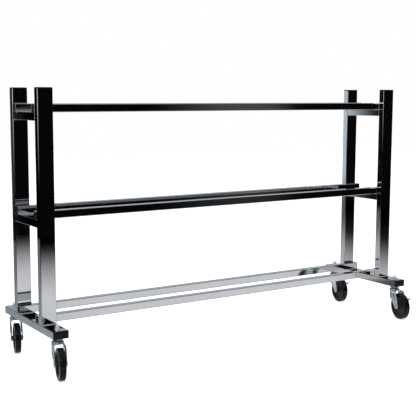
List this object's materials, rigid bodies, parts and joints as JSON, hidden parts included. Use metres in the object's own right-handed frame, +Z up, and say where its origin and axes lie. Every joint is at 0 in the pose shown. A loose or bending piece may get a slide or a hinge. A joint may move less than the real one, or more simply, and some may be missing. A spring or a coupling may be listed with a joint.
{
  "type": "ball cart",
  "caption": "Chrome tube cart whose tiers of paired long rails cradle sports balls between end frames, rolling on swivel casters with brakes at one end.",
  "frame": {"origin": "the middle of the outer box's underside, on the floor; the frame's own middle lies 0.6 mm along +X and 32.8 mm along +Y, because the wheels trail to the front", "axes": "+X along the rails from the unbraked left end to the braked right end, +Y from the front to the back, +Z up"},
  "size_m": [1.496, 0.4776, 0.889],
  "materials": {
    "chrome": "bright chrome plate on steel tube",
    "black_plastic": "black moulded plastic",
    "zinc_steel": "bright zinc plate with a cool tint",
    "tyre": "smooth black rubber",
    "hub": "dark grey moulded plastic"
  },
  "bodies": {
    "frame": {"base_rail_left": "chrome", "post_front_left": "chrome", "post_cap_front_left": "black_plastic", "base_cap_front_left": "black_plastic", "post_rear_left": "chrome", "post_cap_rear_left": "black_plastic", "base_cap_rear_left": "black_plastic", "crossbar_middle_left": "chrome", "crossbar_top_left": "chrome", "base_rail_right": "chrome", "post_front_right": "chrome", "post_cap_front_right": "black_plastic", "base_cap_front_right": "black_plastic", "post_rear_right": "chrome", "post_cap_rear_right": "black_plastic", "base_cap_rear_right": "black_plastic", "crossbar_middle_right": "chrome", "crossbar_top_right": "chrome", "rail_low_front": "chrome", "rail_low_rear": "chrome", "rail_middle_front": "chrome", "rail_middle_rear": "chrome", "rail_top_front": "chrome", "rail_top_rear": "chrome", "cap_nut_front_left": "chrome", "stem_front_left": "zinc_steel", "bearing_front_left": "zinc_steel", "cap_nut_front_right": "chrome", "stem_front_right": "zinc_steel", "bearing_front_right": "zinc_steel", "cap_nut_rear_left": "chrome", "stem_rear_left": "zinc_steel", "bearing_rear_left": "zinc_steel", "cap_nut_rear_right": "chrome", "stem_rear_right": "zinc_steel", "bearing_rear_right": "zinc_steel"},
    "swivel_front_left": {"fork_front_left": "zinc_steel", "axle_rivet_front_left": "zinc_steel", "axle_sleeve_front_left": "zinc_steel"},
    "wheel_front_left": {"hub_front_left": "hub", "tyre_front_left": "tyre"},
    "swivel_front_right": {"fork_front_right": "zinc_steel", "axle_rivet_front_right": "zinc_steel", "axle_sleeve_front_right": "zinc_steel", "brake_rivet_front_right": "zinc_steel"},
    "wheel_front_right": {"hub_front_right": "hub", "tyre_front_right": "tyre"},
    "brake_front_right": {"brake_lever_front_right": "zinc_steel"},
    "swivel_rear_left": {"fork_rear_left": "zinc_steel", "axle_rivet_rear_left": "zinc_steel", "axle_sleeve_rear_left": "zinc_steel"},
    "wheel_rear_left": {"hub_rear_left": "hub", "tyre_rear_left": "tyre"},
    "swivel_rear_right": {"fork_rear_right": "zinc_steel", "axle_rivet_rear_right": "zinc_steel", "axle_sleeve_rear_right": "zinc_steel", "brake_rivet_rear_right": "zinc_steel"},
    "wheel_rear_right": {"hub_rear_right": "hub", "tyre_rear_right": "tyre"},
    "brake_rear_right": {"brake_lever_rear_right": "zinc_steel"}
  },
  "joints": [
    {"name": "swivel_front_left", "type": "hinge", "parent": "frame", "child": "swivel_front_left", "pos_m": [-0.71399, -0.14522, 0.1095], "axis": [0, 0, 1], "continuous": true},
    {"name": "wheel_front_left", "type": "hinge", "parent": "swivel_front_left", "child": "wheel_front_left", "pos_m": [-0.72403, -0.18703, 0.0508], "axis": [0.9724, -0.2334, 0], "continuous": true},
    {"name": "swivel_front_right", "type": "hinge", "parent": "frame", "child": "swivel_front_right", "pos_m": [0.71521, -0.14522, 0.1095], "axis": [0, 0, 1], "continuous": true},
    {"name": "wheel_front_right", "type": "hinge", "parent": "swivel_front_right", "child": "wheel_front_right", "pos_m": [0.70774, -0.18757, 0.0508], "axis": [0.9848, -0.1736, 0], "continuous": true},
    {"name": "brake_front_right", "type": "hinge", "parent": "swivel_front_right", "child": "brake_front_right", "pos_m": [0.73049, -0.17432, 0.088], "axis": [0.9848, -0.1736, 0], "range_deg": [0, 18]},
    {"name": "swivel_rear_left", "type": "hinge", "parent": "frame", "child": "swivel_rear_left", "pos_m": [-0.71399, 0.21078, 0.1095], "axis": [0, 0, 1], "continuous": true},
    {"name": "wheel_rear_left", "type": "hinge", "parent": "swivel_rear_left", "child": "wheel_rear_left", "pos_m": [-0.72548, 0.16934, 0.0508], "axis": [0.9636, -0.2672, 0], "continuous": true},
    {"name": "swivel_rear_right", "type": "hinge", "parent": "frame", "child": "swivel_rear_right", "pos_m": [0.71521, 0.21078, 0.1095], "axis": [0, 0, 1], "continuous": true},
    {"name": "wheel_rear_right", "type": "hinge", "parent": "swivel_rear_right", "child": "wheel_rear_right", "pos_m": [0.70774, 0.16843, 0.0508], "axis": [0.9848, -0.1736, 0], "continuous": true},
    {"name": "brake_rear_right", "type": "hinge", "parent": "swivel_rear_right", "child": "brake_rear_right", "pos_m": [0.73049, 0.18168, 0.088], "axis": [0.9848, -0.1736, 0], "range_deg": [0, 18]}
  ]
}
